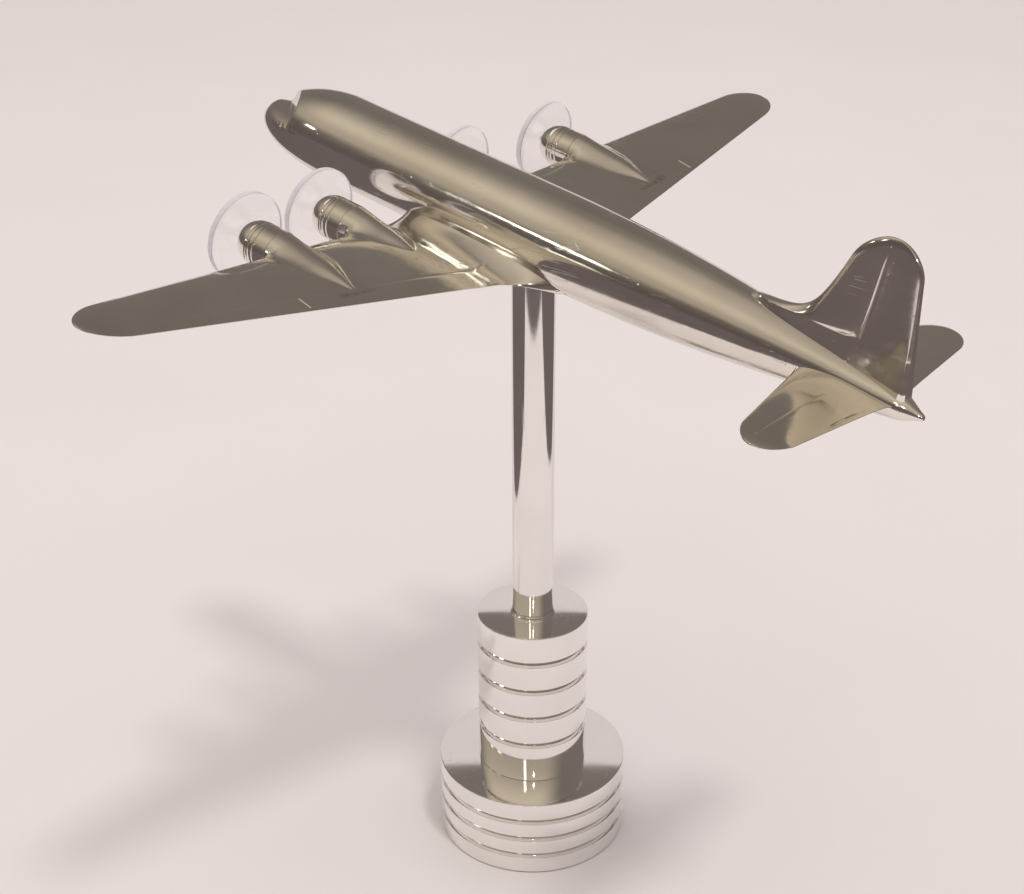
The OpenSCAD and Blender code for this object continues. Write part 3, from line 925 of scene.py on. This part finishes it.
def flat_sheet(name, verts, faces, material):
    mesh = bpy.data.meshes.new(name)
    mesh.from_pydata([tuple(v) for v in verts], [], faces)
    mesh.materials.append(material)
    obj = bpy.data.objects.new(name, mesh)
    bpy.context.scene.collection.objects.link(obj)
    return obj


def only_reflected(obj):
    """A card that only the polished metal sees."""
    obj.visible_camera = False
    obj.visible_diffuse = False
    obj.visible_shadow = False
    obj.visible_transmission = False


def disc_sheet(name, inner, outer, height, material, count=96):
    angles = np.linspace(0, 2 * math.pi, count, endpoint=False)
    verts = [(r * math.cos(a), r * math.sin(a), height) for r in (inner, outer) for a in angles]
    faces = [(j, (j + 1) % count, count + (j + 1) % count, count + j) for j in range(count)]
    return flat_sheet(name, verts, faces, material)


def glow(name, colour, strength):
    material = bpy.data.materials.new(name)
    material.use_nodes = True
    tree = material.node_tree
    tree.nodes.clear()
    out = tree.nodes.new("ShaderNodeOutputMaterial")
    lamp = tree.nodes.new("ShaderNodeEmission")
    lamp.inputs["Color"].default_value = (*colour, 1)
    lamp.inputs["Strength"].default_value = strength
    tree.links.new(lamp.outputs[0], out.inputs["Surface"])
    return material


def card(name, centre, wide, tall, colour, strength):
    """An upright or tilted rectangle that faces the model, seen only in reflections."""
    to_model = (Vector((0, 0, 0.25)) - centre).normalized()
    across = to_model.cross(Vector((0, 0, 1))).normalized()
    up = across.cross(to_model)
    verts = [centre + across * (wide / 2 * a) + up * (tall / 2 * b)
             for a, b in ((-1, -1), (1, -1), (1, 1), (-1, 1))]
    obj = flat_sheet(name, verts, [(0, 1, 2, 3)], glow(name, colour, strength))
    only_reflected(obj)
    return obj


def light(name, kind, energy, colour):
    """A light that doesn't show as a spot in the polished metal."""
    obj = bpy.data.objects.new(name, bpy.data.lights.new(name, kind))
    bpy.context.scene.collection.objects.link(obj)
    obj.data.energy = energy
    obj.data.color = colour
    obj.visible_glossy = False
    return obj


# Edges of the paper on the table, as places to the right of the column and beyond it.
PAPER_NEAR = -0.85
ROOM = 6                            # how far the floor reaches
PAPER_LEFT = ((-0.80, PAPER_NEAR), (-0.41, -0.35), (-0.36, -0.10), (-0.29, 0.20), (-0.29, ROOM))
PAPER_RIGHT = ((0.70, PAPER_NEAR), (0.57, -0.45), (0.42, -0.08), (0.36, 0.22), (0.36, ROOM))
SWEEP_START = 0.17                  # where the paper starts to rise behind the model
SWEEP_DEPTH = 0.23
SWEEP_RISE = 0.37
DARK_H = 0.002                      # mirrored cards lie this far over the floor
SWEEP_H = 0.003


def make_floor():
    """The pale floor, and round the paper a dark surround that only the metal mirrors."""
    pale = matt("pale_floor", (0.80, 0.76, 0.785))
    disc_sheet("floor", 0.0001, ROOM, 0.0, pale)
    dark = glow("dark_surround", (0.150, 0.119, 0.118), 1.0)
    pieces = [[(-ROOM, -ROOM), (ROOM, -ROOM), (ROOM, PAPER_NEAR), (-ROOM, PAPER_NEAR)]]
    for edge, far in ((PAPER_LEFT, -ROOM), (PAPER_RIGHT, ROOM)):
        pieces += [[near, (far, near[1]), (far, beyond[1]), beyond]
                   for near, beyond in zip(edge, edge[1:])]
    for i, piece in enumerate(pieces):
        verts = [studio(right, ahead, DARK_H) for right, ahead in piece]
        only_reflected(flat_sheet(f"dark_surround_{i}", verts, [(0, 1, 2, 3)], dark))


def backdrop_card():
    """The upper part of the paper sweep behind the model, for the metal to mirror."""
    paper = glow("paper_sweep", (0.74, 0.665, 0.645), 0.95)
    rows = [(SWEEP_START + SWEEP_DEPTH * math.sin(t), SWEEP_H + SWEEP_RISE * (1 - math.cos(t)))
            for t in np.linspace(0, math.pi / 2, 12)]
    verts, faces = [], []
    for ahead, height in rows:
        verts += [studio(edge[-1][0], ahead, height) for edge in (PAPER_LEFT, PAPER_RIGHT)]
    for i in range(len(rows) - 1):
        faces.append((2 * i, 2 * i + 1, 2 * i + 3, 2 * i + 2))
    only_reflected(flat_sheet("paper_sweep", verts, faces, paper))


# Colours of the room by the sine of the lift, on the model's port and starboard sides.
PORT_ROOM = (
    (-1, (0.12, 0.10, 0.095)), (0.10, (0.115, 0.095, 0.088)), (0.26, (0.15, 0.125, 0.107)),
    (0.50, (0.42, 0.36, 0.285)), (0.80, (0.62, 0.53, 0.42)), (1, (0.50, 0.43, 0.35)))
STARBOARD_ROOM = (
    (-1, (0.12, 0.10, 0.095)), (0.0, (0.175, 0.152, 0.138)), (0.25, (0.193, 0.166, 0.152)),
    (0.70, (0.18, 0.155, 0.138)), (0.86, (0.23, 0.20, 0.172)), (1, (0.40, 0.345, 0.28)))
WARM = (1.0, 0.93, 0.82)


def make_world():
    """Dim warm room: cream overhead on the camera's left, taupe beyond, dark low down."""
    world = bpy.data.worlds.new("room")
    bpy.context.scene.world = world
    world.use_nodes = True
    tree = world.node_tree
    background = tree.nodes["Background"]
    coords = tree.nodes.new("ShaderNodeTexCoord")

    def along(direction):
        made = tree.nodes.new("ShaderNodeVectorMath")
        made.operation = "DOT_PRODUCT"
        tree.links.new(coords.outputs["Generated"], made.inputs[0])
        made.inputs[1].default_value = direction
        return made.outputs["Value"]

    def ramp(value, stops):
        shift = tree.nodes.new("ShaderNodeMapRange")
        tree.links.new(value, shift.inputs["Value"])
        shift.inputs["From Min"].default_value = -1
        made = tree.nodes.new("ShaderNodeValToRGB")
        made.color_ramp.interpolation = "EASE"
        tree.links.new(shift.outputs["Result"], made.inputs["Fac"])
        elements = made.color_ramp.elements
        while len(elements) < len(stops):
            elements.new(0.5)
        for element, (level, colour) in zip(elements, stops):
            element.position = (level + 1) / 2
            element.color = (*colour, 1)
        return made.outputs["Color"]

    near_side = ramp(along((0, 0, 1)), PORT_ROOM)
    far_side = ramp(along((0, 0, 1)), STARBOARD_ROOM)
    mix = tree.nodes.new("ShaderNodeMix")
    mix.data_type = "RGBA"
    side = tree.nodes.new("ShaderNodeMapRange")
    side.interpolation_type = "SMOOTHSTEP"
    tree.links.new(along((0, 1, 0)), side.inputs["Value"])
    side.inputs["From Min"].default_value = 0.42
    side.inputs["From Max"].default_value = -0.34
    tree.links.new(side.outputs["Result"], mix.inputs["Factor"])
    tree.links.new(near_side, mix.inputs[6])
    tree.links.new(far_side, mix.inputs[7])
    tree.links.new(mix.outputs[2], background.inputs["Color"])
    background.inputs["Strength"].default_value = 1.0


def room_place(heading, lift, away):
    """A place seen from the model at a heading from its nose towards port, and a lift."""
    h, e = math.radians(heading), math.radians(lift)
    return Vector((math.cos(h) * math.cos(e), math.sin(h) * math.cos(e), math.sin(e))) * away \
        + Vector((0, 0, AXIS_H * MM))


def make_lights():
    ceiling = light("ceiling", "AREA", 100, (1.0, 0.985, 0.985))
    ceiling.data.size = 6.0
    ceiling.location = (0, 0, 3.0)
    key = light("key", "SUN", 0.7, (1.0, 0.96, 0.90))
    key.data.angle = math.radians(7)
    key.rotation_euler = studio(0.24, -0.29, 1.0).to_track_quat("Z", "Y").to_euler()
    card("window_front", room_place(38.5, 17.5, 2.2), 0.25, 0.085, WARM, 6.0)
    card("window_rear", room_place(60, 17.5, 2.2), 0.36, 0.085, (1.0, 1.0, 0.90), 7.0)
    card("flash", studio(0.05, -0.80, 0.62), 0.035, 0.02, (1, 0.98, 0.94), 120.0)
    card("lamp", studio(-0.35, -1.3, 0.95), 0.10, 0.45, WARM, 2.6)


make_floor()
backdrop_card()
make_world()
make_lights()

scene = bpy.context.scene
scene.view_settings.view_transform = "Standard"
scene.view_settings.look = "None"
